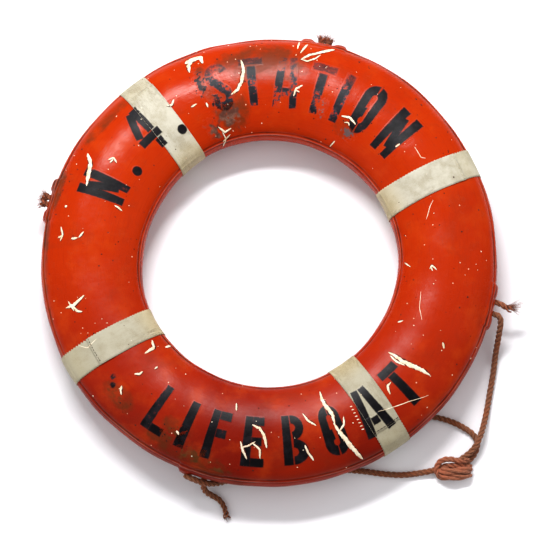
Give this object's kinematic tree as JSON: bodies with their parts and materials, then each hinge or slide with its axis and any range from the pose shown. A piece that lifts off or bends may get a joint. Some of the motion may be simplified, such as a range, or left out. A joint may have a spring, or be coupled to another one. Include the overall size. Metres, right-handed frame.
{
  "type": "ring lifebuoy",
  "caption": "Cork ring lifebuoy in painted canvas, with pale cloth bands and the knotted remains of its grab line.",
  "frame": {"origin": "on the axis of the ring, on the surface that the ring lies on", "axes": "+Z is the axis of the ring and points out of its lettered face; +Y points to the top becket's side of the ring, and +X to the side of the grab line"},
  "size_m": [0.8097, 0.8162, 0.1052],
  "materials": {
    "painted_canvas": "glossy orange-red oil paint on canvas, worn and chipped",
    "band_cloth": "off-white painted cotton strip with pinked edges, cracked and soiled",
    "stitching": "matte waxed thread",
    "cork": "matte cut cork",
    "peg_wood": "plain turned hardwood",
    "rope": "hairy three-strand natural fibre, stained by the paint"
  },
  "bodies": {
    "root": {"band_lower_left": "band_cloth", "band_lower_right": "band_cloth", "band_right": "band_cloth", "band_stitches": "stitching", "band_upper_left": "band_cloth", "becket_patch_bottom": "painted_canvas", "becket_patch_left": "painted_canvas", "becket_patch_right": "painted_canvas", "becket_patch_top": "painted_canvas", "becket_rope_left": "rope", "becket_rope_top": "rope", "canvas_cover_back": "painted_canvas", "canvas_cover_front": "painted_canvas", "core_pegs": "peg_wood", "cork_lower_1": "cork", "cork_lower_2": "cork", "cork_lower_3": "cork", "cork_lower_4": "cork", "cork_lower_5": "cork", "cork_lower_6": "cork", "cork_lower_7": "cork", "cork_lower_8": "cork", "cork_upper_1": "cork", "cork_upper_2": "cork", "cork_upper_3": "cork", "cork_upper_4": "cork", "cork_upper_5": "cork", "cork_upper_6": "cork", "cork_upper_7": "cork", "cork_upper_8": "cork", "grab_line": "rope", "grab_line_bight": "rope", "grab_line_frayed_end": "rope", "grab_line_tail": "rope", "grab_line_under_rim": "rope", "rope_knot": "rope", "seam_welt_inner": "painted_canvas", "seam_welt_outer": "painted_canvas", "second_rope": "rope"}
  },
  "joints": []
}
